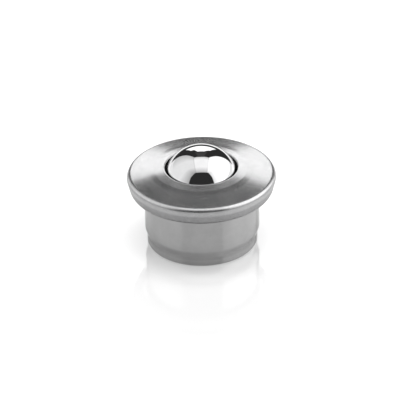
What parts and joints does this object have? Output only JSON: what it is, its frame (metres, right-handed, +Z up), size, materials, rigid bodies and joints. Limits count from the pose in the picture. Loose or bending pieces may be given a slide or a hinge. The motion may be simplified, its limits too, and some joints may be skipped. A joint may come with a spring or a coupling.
{
  "type": "ball transfer unit",
  "caption": "Flanged ball transfer unit: a steel load ball rolls any way on small support balls in a hardened cup, inside a pressed housing with a crimped cover.",
  "frame": {"origin": "centre of the flat base, on the unit's own axis", "axes": "+Z up, out through the load ball; X and Y lie in the base, and the unit is round about Z"},
  "size_m": [0.031, 0.031, 0.0215],
  "materials": {
    "housing_steel": "satin pressed steel, bright zinc plated",
    "cover_steel": "fine-grained satin pressed steel, bright zinc plated",
    "cup_steel": "hardened and ground steel",
    "seal_felt": "matt black",
    "ball_steel": "polished hardened steel",
    "support_ball_steel": "polished hardened steel"
  },
  "bodies": {
    "housing": {"housing": "housing_steel", "ball_cup": "cup_steel", "seal_ring": "seal_felt", "cover": "cover_steel"},
    "support_balls": {"support_ball_01": "support_ball_steel", "support_ball_02": "support_ball_steel", "support_ball_03": "support_ball_steel", "support_ball_04": "support_ball_steel", "support_ball_05": "support_ball_steel", "support_ball_06": "support_ball_steel", "support_ball_07": "support_ball_steel", "support_ball_08": "support_ball_steel", "support_ball_09": "support_ball_steel", "support_ball_10": "support_ball_steel", "support_ball_11": "support_ball_steel", "support_ball_12": "support_ball_steel", "support_ball_13": "support_ball_steel", "support_ball_14": "support_ball_steel", "support_ball_15": "support_ball_steel", "support_ball_16": "support_ball_steel", "support_ball_17": "support_ball_steel", "support_ball_18": "support_ball_steel", "support_ball_19": "support_ball_steel", "support_ball_20": "support_ball_steel", "support_ball_21": "support_ball_steel", "support_ball_22": "support_ball_steel", "support_ball_23": "support_ball_steel", "support_ball_24": "support_ball_steel", "support_ball_25": "support_ball_steel", "support_ball_26": "support_ball_steel", "support_ball_27": "support_ball_steel", "support_ball_28": "support_ball_steel", "support_ball_29": "support_ball_steel", "support_ball_30": "support_ball_steel", "support_ball_31": "support_ball_steel", "support_ball_32": "support_ball_steel", "support_ball_33": "support_ball_steel", "support_ball_34": "support_ball_steel", "support_ball_35": "support_ball_steel", "support_ball_36": "support_ball_steel", "support_ball_37": "support_ball_steel", "support_ball_38": "support_ball_steel", "support_ball_39": "support_ball_steel", "support_ball_40": "support_ball_steel", "support_ball_41": "support_ball_steel", "support_ball_42": "support_ball_steel", "support_ball_43": "support_ball_steel", "support_ball_44": "support_ball_steel", "support_ball_45": "support_ball_steel", "support_ball_46": "support_ball_steel", "support_ball_47": "support_ball_steel", "support_ball_48": "support_ball_steel", "support_ball_49": "support_ball_steel", "support_ball_50": "support_ball_steel", "support_ball_51": "support_ball_steel", "support_ball_52": "support_ball_steel", "support_ball_53": "support_ball_steel", "support_ball_54": "support_ball_steel"},
    "load_ball": {"load_ball": "ball_steel"}
  },
  "joints": [
    {"name": "support_balls_orbit", "type": "hinge", "parent": "housing", "child": "support_balls", "pos_m": [0, 0, 0.01356], "axis": [0, 0, 1], "continuous": true},
    {"name": "load_ball_roll", "type": "hinge", "parent": "support_balls", "child": "load_ball", "pos_m": [0, 0, 0.01356], "axis": [1, 0, 0], "continuous": true}
  ]
}
